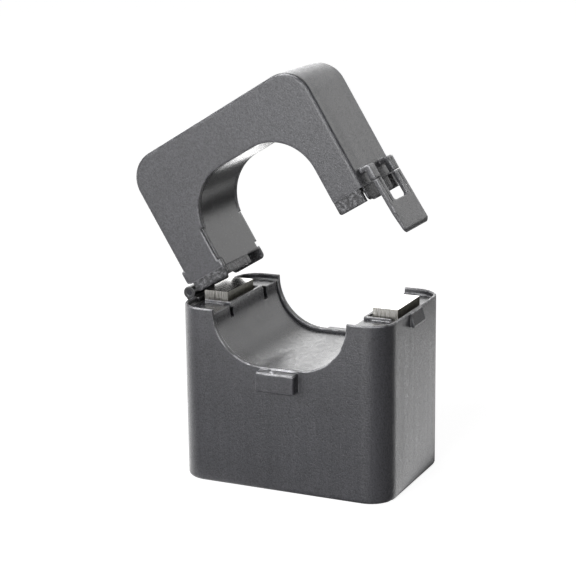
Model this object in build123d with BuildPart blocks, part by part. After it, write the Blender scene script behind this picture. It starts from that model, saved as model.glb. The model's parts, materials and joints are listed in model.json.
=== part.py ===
from build123d import *

import os
from math import cos, radians, sin

# Split-core current transformer, 57 x 40 x 82 mm closed, standing with its jaw open.
# Millimetres, +Z up, X across the front, -Y towards the front.  The origin is the middle of the base's
# underside.  The jaw is drawn closed, in a frame that is turned about the hinge axis to the open rest
# pose.

os.makedirs("parts", exist_ok=True)

# Base housing
base_width = 57.0
base_depth = 39.7
deck_height = 44.2
base_corner = 6.7
base_floor = 2.0
base_wall = 1.4
foot_round = 1.0
rim_rise = 1.4
rim_wall = 0.8
rim_bevel = 0.2

# Window for the conductor, lower half
shoulder_width = 10.4
bore_depth = 11.95
bore_arc = 13.0

# Liner of the base: window wall and deck
liner_fit = 0.1
liner_wall = 1.3
liner_side_recess = 0.2
liner_floor_recess = 0.8
liner_end_gap = 0.6
deck_thick = 1.8
ridge_width = 0.7
ridge_rise = 0.75
ridge_gap = 1.1
ridge_length = 7.3
slot_width = 2.0
slot_depth = 3.2
slot_front = 8.9
slot_rear = 10.9

# Magnetic core, two U halves of the same section
core_side_margin = 1.9
core_limb = 6.6
core_depth = 15.0
core_rise = 2.8
core_gap = 0.05
core_fit = 0.3
core_outer_round = 6.0
lower_core_round = 3.0
upper_core_round = 9.0
upper_core_clear = 1.5
lower_limb_clear = 5.05

# Winding on the lower limb
bobbin_end_clear = 7.0
bobbin_wall = 1.0
bobbin_flange = 1.2
bobbin_fit = 0.2
winding_build = 2.6
flange_margin = 0.4
pin_radius = 0.4
pin_length = 5.0
pin_pitch = 8.0

# Springs under and over the core
spring_thick = 0.3
spring_width = 5.0
lower_spring_span = 12.0
lower_spring_rise = 1.5
upper_spring_span = 22.0
cradle_thick = 2.0

# Lead outlet in the rear wall
outlet_x = 16.0
outlet_z = 9.0
outlet_radius = 3.0
outlet_bore = 1.8
outlet_flange = 1.0
outlet_flange_radius = 4.2

# Snap tabs, front and rear
tab_width = 10.4
tab_out = 3.1
tab_height = 5.1
tab_drop = 0.45
tab_round = 0.5
tab_bevel = 0.35

# Hinge
hinge_out = 1.4
hinge_rise = 2.2
open_angle = 31.2
knuckle_radius = 1.6
pin_hinge_radius = 0.75
pin_running_fit = 0.05
jaw_knuckle_half = 3.2
knuckle_gap = 0.2
knuckle_width = 6.2
hinge_plate_depth = 3.7
hinge_plate_rise = 1.2
hinge_gusset_depth = 3.0
notch_fit = 0.1

# Jaw housing, drawn closed
shoulder_rise = 3.9
jaw_side_inset = 0.6
jaw_depth = 22.0
jaw_round = 7.5
jaw_edge = 0.8
jaw_wall = 1.2
jaw_face_wall = 1.3
jaw_window_left = 1.5
jaw_window_right = 0.9
jaw_window_rise = 21.8
jaw_crown = 12.4
jaw_bore_arc = 12.5
jaw_rear_flare = 0.8
jaw_liner_wall = 0.8
jaw_liner_left = 1.5
jaw_liner_top = 1.2
jaw_lip = 0.7
jaw_lip_rise = 1.9
jaw_lip_length = 9.0
lug_out = 0.8
lug_rise = 0.2
lug_height = 3.6
lug_round = 0.6

# Tongues that drop inside the rim
tongue_gap = 0.3
tongue_inset = 0.15
tongue_left_inset = 1.1
tongue_left_lift = 0.9
tongue_left_round = 1.2
tongue_side_inset = 0.4
tongue_side_thick = 0.65
tongue_side_front = 9.4
tongue_side_rear = 6.0
tongue_round = 2.8
tongue_tip_round = 0.7
inner_tongue_length = 2.3
inner_tongue_rear = 3.2
inner_tongue_recess = 0.1

# Latch, hanging from two straps on the jaw
strap_inner = 4.5
latch_half = 7.7
strap_clear = 1.2
strap_root = 1.2
strap_rise = 4.2
strap_bevel = 0.45
latch_out = 2.15
latch_thick = 1.05
crease_rise = 0.15
crease_gap = 0.2
latch_flare = 0.45
latch_length = 14.95
latch_tip_round = 1.0
latch_tip_bevel = 0.4
latch_corner_round = 1.3
groove_width = 0.4
groove_depth = 0.15
latch_lead_in = 5.5
latch_inner_flare = 0.3
latch_lead_step = 0.6
latch_bar_drop = 2.6
latch_window_round = 1.0

# Catch on the base
catch_half = 3.9
catch_out = 1.1
catch_clear = 0.3
catch_height = 3.5
catch_lip = 0.25

# Heights worked out from the sizes above
rim_height = deck_height + rim_rise
bore_floor = deck_height - bore_depth
core_top = deck_height + core_rise
liner_floor = bore_floor - liner_floor_recess
lower_limb_top = liner_floor - liner_wall - lower_limb_clear
lower_limb_base = lower_limb_top - core_limb
tab_top = bore_floor - tab_drop
tab_base = tab_top - tab_height
hinge_z = deck_height + hinge_rise
hinge_plate_base = deck_height - hinge_plate_depth
hinge_plate_top = deck_height + hinge_plate_rise
hinge_gusset_base = deck_height - hinge_gusset_depth
jaw_shoulder = deck_height + shoulder_rise
jaw_bore_top = jaw_shoulder + jaw_window_rise
jaw_top = jaw_bore_top + jaw_crown
jaw_cavity_top = jaw_top - jaw_wall
jaw_lip_base = jaw_shoulder + jaw_lip_rise
jaw_lip_top = jaw_lip_base + jaw_lip_length
lug_base = jaw_shoulder + lug_rise
lug_top = lug_base + lug_height
upper_limb_base = jaw_bore_top + jaw_liner_top + upper_core_clear
upper_limb_top = upper_limb_base + core_limb
tongue_base = deck_height + tongue_gap
tongue_left_base = tongue_base + tongue_left_lift
tongue_high = jaw_shoulder + jaw_wall / 2
inner_tongue_base = jaw_shoulder - inner_tongue_length
strap_top = jaw_shoulder + strap_rise
latch_crease = jaw_shoulder + crease_rise
latch_tip = latch_crease - latch_length
latch_bar_top = deck_height - latch_bar_drop
catch_base = latch_bar_top + catch_clear
strap_base = latch_crease + crease_gap / 2
latch_head = latch_crease - crease_gap / 2

# Places across the front and from front to rear, worked out from the sizes above
side_face = base_width / 2
cavity_width = base_width - 2 * base_wall
cavity_depth = base_depth - 2 * base_wall
bore_half = side_face - shoulder_width
liner_half = bore_half + liner_side_recess
core_inner_half = bore_half + core_side_margin
core_outer_half = core_inner_half + core_limb
core_half_depth = core_depth / 2
cradle_x = core_inner_half + core_limb / 2
bobbin_half = core_inner_half - bobbin_end_clear
hinge_x = -side_face - hinge_out
base_knuckle_inner = jaw_knuckle_half + knuckle_gap
base_knuckle_outer = base_knuckle_inner + knuckle_width
jaw_half = side_face - jaw_side_inset
jaw_bore_left = bore_half - jaw_window_left
jaw_bore_right = bore_half + jaw_window_right
jaw_inner_face = jaw_depth / 2 - jaw_face_wall
tongue_face = jaw_depth / 2 - tongue_inset
tongue_face_thick = tongue_face - jaw_inner_face - liner_fit
tongue_left_outer = jaw_half - tongue_left_inset
tongue_side_outer = jaw_half - tongue_side_inset
tongue_left_width = tongue_left_outer - jaw_bore_left
tongue_right_width = tongue_side_outer - tongue_side_thick - jaw_bore_right
strap_width = latch_half - strap_inner
arm_middle = strap_inner + strap_width / 2
latch_face = side_face + latch_out
groove_face = latch_face - groove_depth
latch_inner_low = latch_face - latch_thick + latch_inner_flare
latch_inner_tip = latch_inner_low + latch_lead_step

# The jaw's own planes: its front, turned open about the hinge, and its right side
turn = radians(open_angle)
jaw_right = (cos(turn), 0, sin(turn))
jaw_up = (-sin(turn), 0, cos(turn))
jaw_frame = Plane(
    origin=(
        hinge_x - hinge_x * cos(turn) + hinge_z * sin(turn),
        0,
        hinge_z - hinge_x * sin(turn) - hinge_z * cos(turn),
    ),
    x_dir=jaw_right,
    z_dir=(0, -1, 0),
)
jaw_side_frame = Plane(origin=jaw_frame.origin, x_dir=(0, 1, 0), z_dir=jaw_right)


def window(sketch, left, right, low, high, arc, arc_side):
    """Upright slot from x = left to right, with its low (0) or high (-1) corners rounded."""
    with Locations(((left + right) / 2, (low + high) / 2)):
        Rectangle(right - left, high - low)
    fillet(sketch.vertices().group_by(Axis.Y)[arc_side], arc)


def knuckle(root_points):
    """Hinge eye round the pin, with the web that joins it to its root."""
    with Locations((hinge_x, hinge_z)):
        Circle(knuckle_radius)
    Polygon(*root_points, align=None)


with BuildPart() as base_shell:
    with BuildSketch():
        RectangleRounded(base_width, base_depth, base_corner)
    extrude(amount=rim_height)
    fillet(base_shell.faces().sort_by(Axis.Z)[0].edges(), foot_round)
    # Open top: a thin rim stands above the ledge that the liner's deck is level with
    with BuildSketch(Plane.XY.offset(base_floor)):
        RectangleRounded(cavity_width, cavity_depth, base_corner - base_wall)
    extrude(amount=rim_height, mode=Mode.SUBTRACT)
    with BuildSketch(Plane.XY.offset(deck_height)):
        RectangleRounded(base_width - 2 * rim_wall, base_depth - 2 * rim_wall, base_corner - rim_wall)
    extrude(amount=rim_height, mode=Mode.SUBTRACT)
    chamfer(base_shell.faces().sort_by(Axis.Z)[-1].edges(), rim_bevel)
    # Half round window through the front and rear walls
    with BuildSketch(Plane.XZ) as sk:
        window(sk, -bore_half, bore_half, bore_floor, 2 * rim_height, bore_arc, 0)
    extrude(amount=base_depth, both=True, mode=Mode.SUBTRACT)
    # Notch in the left wall for the hinge plate
    with Locations((-base_width / 2, 0, hinge_plate_base - notch_fit)):
        Box(
            2 * base_wall + 2 * notch_fit,
            2 * (base_knuckle_outer + notch_fit),
            rim_height,
            align=(Align.CENTER, Align.CENTER, Align.MIN),
            mode=Mode.SUBTRACT,
        )
    # Snap tabs under the window, front and rear
    with BuildSketch(Plane.XY.offset(tab_base)):
        RectangleRounded(tab_width, base_depth + 2 * tab_out, tab_round)
        Rectangle(base_width, base_depth - base_wall, mode=Mode.SUBTRACT)
    extrude(amount=tab_height)
    for face in (Axis.Y, -Axis.Y):
        chamfer(base_shell.faces().sort_by(face)[-1].edges(), tab_bevel)
    # Ramped catch on the right side
    with BuildSketch(Plane.XZ):
        Polygon(
            (side_face - base_wall / 2, catch_base),
            (side_face + catch_out, catch_base),
            (side_face + catch_out, catch_base + catch_lip),
            (side_face + catch_lip, catch_base + catch_height),
            (side_face - base_wall / 2, catch_base + catch_height),
            align=None,
        )
    extrude(amount=catch_half, both=True)
    # Cradles that the core's springs rest on
    for side in (-1, 1):
        with Locations((side * cradle_x, 0, base_floor)):
            Box(
                cradle_thick,
                cavity_depth,
                lower_limb_base - lower_spring_rise - base_floor,
                align=(Align.CENTER, Align.CENTER, Align.MIN),
            )
    # Lead outlet in the rear wall
    with Locations(Plane.XZ.offset(-base_depth / 2)):
        with Locations((outlet_x, outlet_z)):
            Cylinder(outlet_radius, 4 * base_wall, mode=Mode.SUBTRACT)
base_shell.part.label = "base_shell"
export_step(base_shell.part, "parts/base_shell.step")

with BuildPart() as base_liner:
    with BuildSketch(Plane.XY.offset(deck_height - deck_thick)):
        RectangleRounded(
            cavity_width - 2 * liner_fit,
            cavity_depth - 2 * liner_end_gap,
            base_corner - base_wall - liner_fit,
        )
    extrude(amount=deck_thick)
    with BuildSketch(Plane.XZ) as sk:
        window(
            sk,
            -liner_half - liner_wall,
            liner_half + liner_wall,
            liner_floor - liner_wall,
            2 * deck_height,
            bore_arc + liner_wall,
            0,
        )
    extrude(amount=cavity_depth / 2 - liner_end_gap, both=True)
    split(bisect_by=Plane.XY.offset(deck_height), keep=Keep.BOTTOM)
    with BuildSketch(Plane.XZ) as sk:
        window(sk, -liner_half, liner_half, liner_floor, 2 * deck_height, bore_arc, 0)
    extrude(amount=base_depth, both=True, mode=Mode.SUBTRACT)
    for side in (-1, 1):
        # Opening that the core's end stands in
        with Locations((side * (core_inner_half - core_fit + core_limb), 0, deck_height)):
            Box(
                2 * core_limb,
                core_depth + 2 * core_fit,
                4 * deck_thick,
                mode=Mode.SUBTRACT,
            )
        # Slots in the bore wall, cut down from the deck
        for place in (-slot_front, slot_rear):
            with Locations((side * (liner_half + liner_wall / 2), place, deck_height)):
                Box(
                    2 * liner_wall,
                    slot_width,
                    slot_depth,
                    align=(Align.CENTER, Align.CENTER, Align.MAX),
                    mode=Mode.SUBTRACT,
                )
    for side in (-1, 1):
        # Low wall along the window's edge, between the two ridges
        with Locations((side * (liner_half + ridge_width / 2), 0, deck_height - ridge_width)):
            Box(
                ridge_width,
                2 * (core_half_depth + ridge_gap),
                ridge_width + ridge_rise,
                align=(Align.CENTER, Align.CENTER, Align.MIN),
            )
        # Ridges in front of and behind the core's end
        for end in (-1, 1):
            with Locations(
                (
                    side * (liner_half + ridge_length / 2),
                    end * (core_half_depth + ridge_gap + ridge_width / 2),
                    deck_height - ridge_width,
                )
            ):
                Box(
                    ridge_length,
                    ridge_width,
                    ridge_width + ridge_rise,
                    align=(Align.CENTER, Align.CENTER, Align.MIN),
                )
base_liner.part.label = "base_liner"
export_step(base_liner.part, "parts/base_liner.step")

with BuildPart() as lower_core:
    with BuildSketch(Plane.XZ) as outer:
        window(
            outer,
            -core_outer_half,
            core_outer_half,
            lower_limb_base,
            core_top,
            core_outer_round,
            0,
        )
    extrude(amount=core_half_depth, both=True)
    with BuildSketch(Plane.XZ) as inner:
        window(
            inner,
            -core_inner_half,
            core_inner_half,
            lower_limb_top,
            2 * core_top,
            lower_core_round,
            0,
        )
    extrude(amount=core_depth, both=True, mode=Mode.SUBTRACT)
lower_core.part.label = "lower_core"
export_step(lower_core.part, "parts/lower_core.step")

# Square tube round the lower limb, with a flange at each end
tube_high = core_limb + 2 * bobbin_fit
tube_deep = core_depth + 2 * bobbin_fit
limb_middle = lower_limb_base + core_limb / 2
with BuildPart() as bobbin:
    with Locations((0, 0, limb_middle)):
        Box(2 * bobbin_half, tube_deep + 2 * bobbin_wall, tube_high + 2 * bobbin_wall)
        for side in (-1, 1):
            with Locations((side * (bobbin_half - bobbin_flange / 2), 0, 0)):
                Box(
                    bobbin_flange,
                    tube_deep + 2 * (bobbin_wall + winding_build + flange_margin),
                    tube_high + 2 * (bobbin_wall + winding_build + flange_margin),
                )
        Box(4 * bobbin_half, tube_deep, tube_high, mode=Mode.SUBTRACT)
bobbin.part.label = "bobbin"
export_step(bobbin.part, "parts/bobbin.step")

with BuildPart() as winding:
    with Locations((0, 0, limb_middle)):
        Box(
            2 * (bobbin_half - bobbin_flange),
            tube_deep + 2 * (bobbin_wall + winding_build),
            tube_high + 2 * (bobbin_wall + winding_build),
        )
        fillet(winding.edges().filter_by(Axis.X), winding_build)
        Box(
            4 * bobbin_half,
            tube_deep + 2 * bobbin_wall,
            tube_high + 2 * bobbin_wall,
            mode=Mode.SUBTRACT,
        )
winding.part.label = "winding"
export_step(winding.part, "parts/winding.step")

# Two pins in the bobbin's right flange, where the winding ends and the leads are soldered
pin_base = limb_middle - tube_high / 2 - bobbin_wall - winding_build - flange_margin
with BuildPart() as bobbin_pins:
    for side in (-1, 1):
        with Locations((bobbin_half - bobbin_flange / 2, side * pin_pitch / 2, pin_base)):
            Cylinder(pin_radius, pin_length, align=(Align.CENTER, Align.CENTER, Align.MAX))
bobbin_pins.part.label = "bobbin_pins"
export_step(bobbin_pins.part, "parts/bobbin_pins.step")

# Leaf springs that push the lower core up, one over each cradle
with BuildPart() as core_springs:
    for side in (-1, 1):
        with BuildSketch(Plane.YZ.offset(side * cradle_x - spring_width / 2)):
            with BuildLine():
                low = lower_limb_base - lower_spring_rise
                ends = [(-lower_spring_span / 2, low), (lower_spring_span / 2, low)]
                crown = ThreePointArc(ends[0], (0, lower_limb_base - spring_thick), ends[1])
                offset(crown, amount=spring_thick, side=Side.LEFT)
            make_face()
        extrude(amount=spring_width)
core_springs.part.label = "core_springs"
export_step(core_springs.part, "parts/core_springs.step")

# Rubber bush in the rear wall, where the leads leave
with BuildPart() as lead_bush:
    with BuildSketch(Plane.XZ.offset(-base_depth / 2)):
        with Locations((outlet_x, outlet_z)):
            Circle(outlet_flange_radius)
    extrude(amount=-outlet_flange)
    with BuildSketch(Plane.XZ.offset(-base_depth / 2)):
        with Locations((outlet_x, outlet_z)):
            Circle(outlet_radius - notch_fit)
    extrude(amount=base_wall)
    with BuildSketch(Plane.XZ.offset(-base_depth / 2)):
        with Locations((outlet_x, outlet_z)):
            Circle(outlet_bore)
    extrude(amount=base_depth, both=True, mode=Mode.SUBTRACT)
lead_bush.part.label = "lead_bush"
export_step(lead_bush.part, "parts/lead_bush.step")

# Black hinge plate: it fills the notch in the base's left wall and carries two eyes outside it
with BuildPart() as hinge_block:
    with Locations((-side_face, 0, hinge_plate_base)):
        Box(
            base_wall,
            2 * base_knuckle_outer,
            hinge_plate_top - hinge_plate_base,
            align=(Align.MIN, Align.CENTER, Align.MIN),
        )
    for side in (-1, 1):
        with BuildSketch(Plane.XZ.offset(side * (base_knuckle_inner + knuckle_width / 2))):
            knuckle(
                [
                    (-side_face, hinge_gusset_base),
                    (-side_face, hinge_plate_top),
                    (hinge_x, hinge_z),
                    (hinge_x - knuckle_radius, hinge_z),
                ]
            )
        extrude(amount=knuckle_width / 2, both=True)
    with BuildSketch(Plane.XZ):
        with Locations((hinge_x, hinge_z)):
            Circle(pin_hinge_radius)
    extrude(amount=base_depth, both=True, mode=Mode.SUBTRACT)
hinge_block.part.label = "hinge_block"
export_step(hinge_block.part, "parts/hinge_block.step")

with BuildPart() as hinge_pin:
    with BuildSketch(Plane.XZ):
        with Locations((hinge_x, hinge_z)):
            Circle(pin_hinge_radius)
    extrude(amount=base_knuckle_outer, both=True)
hinge_pin.part.label = "hinge_pin"
export_step(hinge_pin.part, "parts/hinge_pin.step")

with BuildPart() as jaw_shell:
    with BuildSketch(jaw_frame) as sk:
        window(sk, -jaw_half, jaw_half, jaw_shoulder, jaw_top, jaw_round, -1)
        with Locations((-jaw_half - lug_out, lug_base)):
            Rectangle(lug_out + jaw_wall, lug_top - lug_base, align=(Align.MIN, Align.MIN))
        fillet(sk.vertices().group_by(Axis.X)[0], lug_round)
    extrude(amount=jaw_depth / 2, both=True)
    shoulder_edges = jaw_shell.faces().sort_by(Axis((0, 0, 0), jaw_up))[0].edges()
    fillet(jaw_shell.faces().filter_by(Axis.Y).edges() - shoulder_edges, jaw_edge)
    with BuildSketch(jaw_frame) as sk:
        window(
            sk,
            -jaw_half + jaw_wall,
            jaw_half - jaw_wall,
            jaw_shoulder - jaw_wall,
            jaw_cavity_top,
            jaw_round - jaw_wall,
            -1,
        )
    extrude(amount=jaw_inner_face, both=True, mode=Mode.SUBTRACT)
    with BuildSketch(jaw_frame) as sk:
        window(sk, -jaw_bore_left, jaw_bore_right, 0, jaw_bore_top, jaw_bore_arc, -1)
        # Step beside the hinge that the liner's lip fills
        with Locations((-jaw_bore_left, jaw_lip_base)):
            Rectangle(
                2 * jaw_lip,
                jaw_lip_top - jaw_lip_base,
                align=(Align.CENTER, Align.MIN),
            )
    extrude(amount=jaw_depth, both=True, mode=Mode.SUBTRACT)
    # The rear wall's window edge leans out beside the hinge
    with BuildSketch(jaw_frame.offset(-jaw_inner_face)):
        Polygon(
            (-jaw_bore_left - tongue_gap, jaw_lip_top),
            (-jaw_bore_left - tongue_gap - jaw_rear_flare, tongue_base),
            (0, tongue_base),
            (0, jaw_lip_top),
            align=None,
        )
    extrude(amount=-jaw_depth, mode=Mode.SUBTRACT)
    # Tongues under the front and rear walls, set back a little from their faces
    for side in (-1, 1):
        with BuildSketch(jaw_frame.offset(side * tongue_face)) as sk:
            with Locations((-tongue_left_outer, tongue_left_base)):
                Rectangle(tongue_left_width, tongue_high - tongue_left_base, align=(Align.MIN, Align.MIN))
            fillet(sk.vertices().group_by(Axis.Y)[0], tongue_left_round)
            with Locations((jaw_bore_right, tongue_base)):
                Rectangle(tongue_right_width, tongue_high - tongue_base, align=(Align.MIN, Align.MIN))
            tips = sk.vertices().group_by(Axis.Y)[0].sort_by(Axis.X)
            fillet(tips[0], tongue_tip_round)
            fillet(tips[1], tongue_round)
        extrude(amount=-side * tongue_face_thick)
    # Thin tongue under the right wall
    with BuildSketch(jaw_side_frame.offset(tongue_side_outer)) as sk:
        with Locations((-tongue_side_front, tongue_base)):
            Rectangle(
                tongue_side_front + tongue_side_rear,
                tongue_high - tongue_base,
                align=(Align.MIN, Align.MIN),
            )
        fillet(sk.vertices().group_by(Axis.Y)[0], 2 * tongue_tip_round)
    extrude(amount=-tongue_side_thick)
    # Two straps that the latch hangs from, joined to the wall at their tops only
    for side in (-1, 1):
        with BuildSketch(jaw_frame.offset(side * arm_middle)):
            Polygon(
                (jaw_half - jaw_wall / 2, strap_top - strap_root),
                (jaw_half - jaw_wall / 2, strap_top),
                (latch_face - strap_bevel, strap_top),
                (latch_face, strap_top - strap_bevel),
                (latch_face, strap_base),
                (jaw_half + strap_clear, strap_base),
                (jaw_half + strap_clear, strap_top - strap_root),
                align=None,
            )
        extrude(amount=strap_width / 2, both=True)
        # Fine groove down the strap's face
        with BuildSketch(jaw_side_frame.offset(groove_face)):
            with Locations((side * arm_middle, strap_base)):
                Rectangle(groove_width, 2 * strap_rise, align=(Align.CENTER, Align.MIN))
        extrude(amount=latch_thick, mode=Mode.SUBTRACT)
    # Middle eye of the hinge, on an arm from the left wall
    with BuildSketch(jaw_frame):
        knuckle(
            [
                (-jaw_half + jaw_wall / 2, lug_base),
                (-jaw_half - lug_out / 2, lug_top - lug_round),
                (hinge_x - knuckle_radius, hinge_z),
                (hinge_x, hinge_z),
            ]
        )
    extrude(amount=jaw_knuckle_half, both=True)
    with BuildSketch(jaw_frame):
        with Locations((hinge_x, hinge_z)):
            Circle(pin_hinge_radius + pin_running_fit)
    extrude(amount=jaw_depth, both=True, mode=Mode.SUBTRACT)
jaw_shell.part.label = "jaw_shell"
export_step(jaw_shell.part, "parts/jaw_shell.step")

# Inner wall of the jaw, with a lip on each face beside the hinge
with BuildPart() as jaw_liner:
    with BuildSketch(jaw_frame) as sk:
        window(
            sk,
            -jaw_bore_left - jaw_liner_left,
            jaw_bore_right + jaw_liner_wall,
            jaw_shoulder,
            jaw_bore_top + jaw_liner_top,
            jaw_bore_arc + jaw_liner_wall,
            -1,
        )
    extrude(amount=jaw_inner_face - liner_fit, both=True)
    with BuildSketch(jaw_frame):
        with Locations((-jaw_bore_left, jaw_lip_base + liner_fit)):
            Rectangle(
                jaw_lip - liner_fit,
                jaw_lip_top - jaw_lip_base - 2 * liner_fit,
                align=(Align.MAX, Align.MIN),
            )
    extrude(amount=tongue_face, both=True)
    with BuildSketch(jaw_frame) as sk:
        window(sk, -jaw_bore_left, jaw_bore_right, 0, jaw_bore_top, jaw_bore_arc, -1)
    extrude(amount=jaw_depth, both=True, mode=Mode.SUBTRACT)
    # Tongue below the wall, in front of the core's end
    with BuildSketch(jaw_side_frame.offset(-jaw_bore_left - inner_tongue_recess)):
        with Locations((inner_tongue_rear, inner_tongue_base)):
            Rectangle(
                inner_tongue_rear + jaw_inner_face - liner_fit,
                inner_tongue_length + deck_thick,
                align=(Align.MAX, Align.MIN),
            )
    extrude(amount=inner_tongue_recess - jaw_liner_left)
jaw_liner.part.label = "jaw_liner"
export_step(jaw_liner.part, "parts/jaw_liner.step")

with BuildPart() as upper_core:
    with BuildSketch(jaw_frame) as sk:
        window(
            sk,
            -core_outer_half,
            core_outer_half,
            core_top + core_gap,
            upper_limb_top,
            core_outer_round,
            -1,
        )
    extrude(amount=core_half_depth, both=True)
    with BuildSketch(jaw_frame) as sk:
        window(
            sk, -core_inner_half, core_inner_half, 0, upper_limb_base, upper_core_round, -1
        )
    extrude(amount=core_depth, both=True, mode=Mode.SUBTRACT)
upper_core.part.label = "upper_core"
export_step(upper_core.part, "parts/upper_core.step")

# Leaf spring between the upper core and the top of the jaw
with BuildPart() as jaw_spring:
    with BuildSketch(jaw_frame):
        with BuildLine():
            ends = [(-upper_spring_span / 2, upper_limb_top), (upper_spring_span / 2, upper_limb_top)]
            crown = ThreePointArc(ends[0], (0, jaw_cavity_top - spring_thick), ends[1])
            offset(crown, amount=spring_thick, side=Side.LEFT)
        make_face()
    extrude(amount=spring_width, both=True)
jaw_spring.part.label = "jaw_spring"
export_step(jaw_spring.part, "parts/jaw_spring.step")

# Latch: two arms down to a plate, whose upper edge hooks under the catch
with BuildPart() as latch:
    with BuildSketch(jaw_frame):
        Polygon(
            (latch_face - latch_thick, latch_head),
            (latch_face, latch_head),
            (latch_face + latch_flare, latch_tip + latch_tip_round),
            (latch_face + latch_flare - latch_tip_bevel, latch_tip),
            (latch_inner_tip, latch_tip),
            (latch_inner_low, latch_tip + latch_lead_in),
            align=None,
        )
    extrude(amount=latch_half, both=True)
    with BuildSketch(jaw_side_frame.offset(latch_face)) as sk:
        with Locations((0, latch_tip)):
            Rectangle(2 * latch_half, latch_length, align=(Align.CENTER, Align.MIN))
        fillet(sk.vertices().group_by(Axis.Y)[0], latch_corner_round)
    extrude(amount=2 * latch_thick, both=True, mode=Mode.INTERSECT)
    # The grooves of the straps run on down the latch's arms
    with BuildSketch(jaw_side_frame.offset(groove_face)):
        with Locations((-arm_middle, latch_bar_top), (arm_middle, latch_bar_top)):
            Rectangle(groove_width, latch_head, align=(Align.CENTER, Align.MIN))
    extrude(amount=latch_thick, mode=Mode.SUBTRACT)
    with BuildSketch(jaw_side_frame.offset(latch_face)) as sk:
        with Locations((0, latch_bar_top)):
            Rectangle(2 * strap_inner, latch_head, align=(Align.CENTER, Align.MIN))
        fillet(sk.vertices().group_by(Axis.Y)[0], latch_window_round)
    extrude(amount=2 * latch_thick, both=True, mode=Mode.SUBTRACT)
latch.part.label = "latch"
export_step(latch.part, "parts/latch.step")
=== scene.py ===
# %% [markdown]
# # A split-core current transformer with its jaw open
# A current transformer measures the current in a bar or cable that runs through its window.  This
# one is split: the upper half of its housing and of its steel core swings up on a hinge, so that it
# can be put round a cable that is already wired.  The lower half holds the winding.
#
# The CAD model gives every solid its exact place.  This script gives those solids their looks, and
# makes a few pieces anew as surfaces worked out with numpy.  We start by loading the model.  The
# looks must not make the object bigger.
# %% Load the imported model
import json
import math

import bmesh
import bpy
import numpy as np
from mathutils import Matrix, Vector


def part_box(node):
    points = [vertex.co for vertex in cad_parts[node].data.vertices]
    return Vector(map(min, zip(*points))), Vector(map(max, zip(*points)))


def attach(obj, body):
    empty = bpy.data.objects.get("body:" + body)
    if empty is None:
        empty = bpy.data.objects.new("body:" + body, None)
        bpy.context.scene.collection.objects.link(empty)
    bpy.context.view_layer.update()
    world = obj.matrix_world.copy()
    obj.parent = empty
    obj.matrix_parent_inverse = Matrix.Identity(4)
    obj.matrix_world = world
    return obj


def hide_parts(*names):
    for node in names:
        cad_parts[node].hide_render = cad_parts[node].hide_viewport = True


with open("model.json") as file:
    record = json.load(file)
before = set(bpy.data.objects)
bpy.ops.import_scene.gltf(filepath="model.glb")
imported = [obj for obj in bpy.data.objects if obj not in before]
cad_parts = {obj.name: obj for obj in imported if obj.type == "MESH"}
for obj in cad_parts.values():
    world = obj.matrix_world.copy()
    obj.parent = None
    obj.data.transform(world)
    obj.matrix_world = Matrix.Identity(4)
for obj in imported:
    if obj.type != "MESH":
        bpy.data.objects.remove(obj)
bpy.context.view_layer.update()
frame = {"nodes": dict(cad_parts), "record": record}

parts = frame["nodes"]
print("nodes:", ", ".join(sorted(parts)))

# %% [markdown]
# ## The camera
# The photograph was taken from the right of the front and a little above.  The camera's place and
# focal length were found by fitting the base's straight edges, so they are plain numbers here.
# The picture is square, and Blender measures the lens against a 36 mm sensor: the focal length in
# pixels is 576 / 36 times the lens in millimetres.
# %% Camera
CAMERA_PLACE = (0.18404, -0.40897, 0.16264)
CAMERA_RIGHT = (0.90765, 0.41957, -0.01161)
CAMERA_UP = (-0.09345, 0.22897, 0.96894)
CAMERA_BACK = (0.40920, -0.87837, 0.24703)
FOCAL_PIXELS = 1821.0
PICTURE = 576.0
SENSOR_MM = 36.0

camera_data = bpy.data.cameras.new("camera")
camera_data.sensor_width = SENSOR_MM
camera_data.lens = FOCAL_PIXELS / PICTURE * SENSOR_MM
camera = bpy.data.objects.new("camera", camera_data)
bpy.context.scene.collection.objects.link(camera)
axes = np.array([CAMERA_RIGHT, CAMERA_UP, CAMERA_BACK]).T
camera.matrix_world = Matrix.Translation(CAMERA_PLACE) @ Matrix(axes.tolist()).to_4x4()
bpy.context.scene.camera = camera
print("lens", round(camera_data.lens, 1), "mm")

# %% [markdown]
# ## The jaw's own axes
# The jaw was designed closed and then swung open about the hinge, so everything in it is straight
# in turned axes.  The hinge joint's lower limit is the way back to closed, so its size is the angle
# that the jaw stands open.  Two helpers carry points between the closed jaw and the open one.
# %% The closed jaw
hinge = next(j for j in frame["record"]["behaviour"]["joints"] if j["name"] == "jaw_hinge")
HINGE = np.array(hinge["pos_m"])
OPEN_ANGLE = math.radians(-hinge["range_deg"][0])


def turned(points, angle):
    """Points turned about the hinge's axis, which runs along Y; a positive angle lifts +X."""
    points = np.asarray(points, dtype=float)
    x, z = points[..., 0] - HINGE[0], points[..., 2] - HINGE[2]
    out = points.copy()
    out[..., 0] = HINGE[0] + x * math.cos(angle) - z * math.sin(angle)
    out[..., 2] = HINGE[2] + x * math.sin(angle) + z * math.cos(angle)
    return out


def closed_box(node):
    """Lowest and highest corners of a jaw node after the jaw has been turned back to closed."""
    mesh = parts[node].data
    flat = np.empty(3 * len(mesh.vertices))
    mesh.vertices.foreach_get("co", flat)
    points = turned(flat.reshape(-1, 3), -OPEN_ANGLE)
    return points.min(axis=0), points.max(axis=0)


corners_mm = [np.round(1000 * corner, 2).tolist() for corner in closed_box("upper_core")]
print("closed upper core, mm:", corners_mm)

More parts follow.
